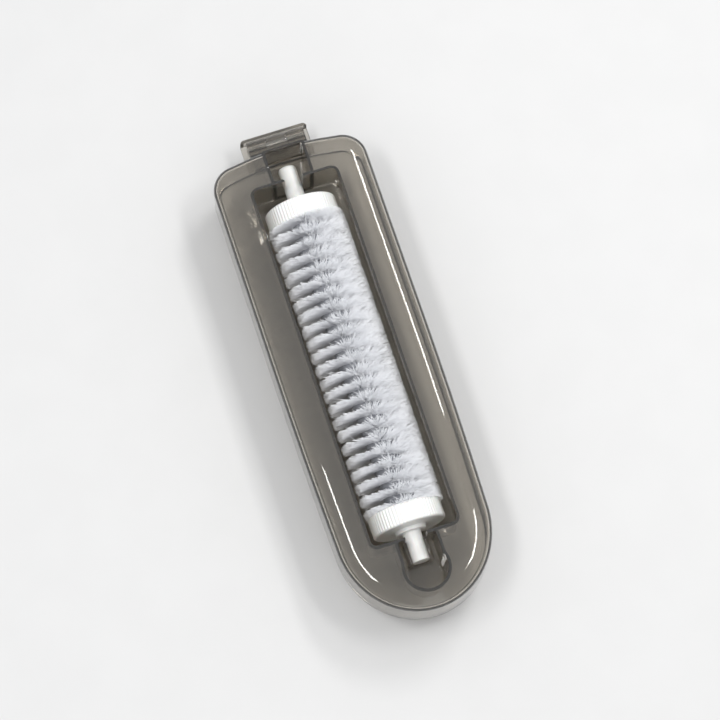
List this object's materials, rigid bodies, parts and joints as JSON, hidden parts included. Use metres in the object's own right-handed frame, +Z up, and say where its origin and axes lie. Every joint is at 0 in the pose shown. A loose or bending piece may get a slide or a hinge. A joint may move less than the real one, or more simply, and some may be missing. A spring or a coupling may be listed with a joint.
{
  "type": "carpet sweeper",
  "caption": "Palm-held carpet sweeper: a roller brush between end discs in a smoky see-through housing whose face opens on an end hinge to empty the dust.",
  "frame": {"origin": "centre of the footprint, on the flat crown of the back shell that the sweeper lies on", "axes": "+X across the body, +Y along the brush axis towards the hinged end, +Z up, out of the brush face"},
  "size_m": [0.055, 0.18, 0.032],
  "materials": {
    "smoky_cover": "gloss, see-through smoke grey",
    "smoky_shell": "gloss, see-through smoke grey",
    "pin_steel": "drawn wire",
    "white_moulding": "satin white",
    "white_cap": "satin white",
    "strip_backing": "woven backing",
    "bristle_nylon": "fine nylon filaments"
  },
  "bodies": {
    "back": {"back_shell": "smoky_shell", "hinge_pin": "pin_steel"},
    "cover": {"face_cover": "smoky_cover"},
    "brush": {"spindle": "white_moulding", "end_cap": "white_cap", "strip_base": "strip_backing", "bristles": "bristle_nylon"}
  },
  "joints": [
    {"name": "lid_open", "type": "hinge", "parent": "back", "child": "cover", "pos_m": [0, 0.0855, 0.0135], "axis": [-1, 0, 0], "range_deg": [0, 100]},
    {"name": "brush_spin", "type": "hinge", "parent": "cover", "child": "brush", "pos_m": [0, 0, 0.0185], "axis": [0, 1, 0], "continuous": true}
  ]
}
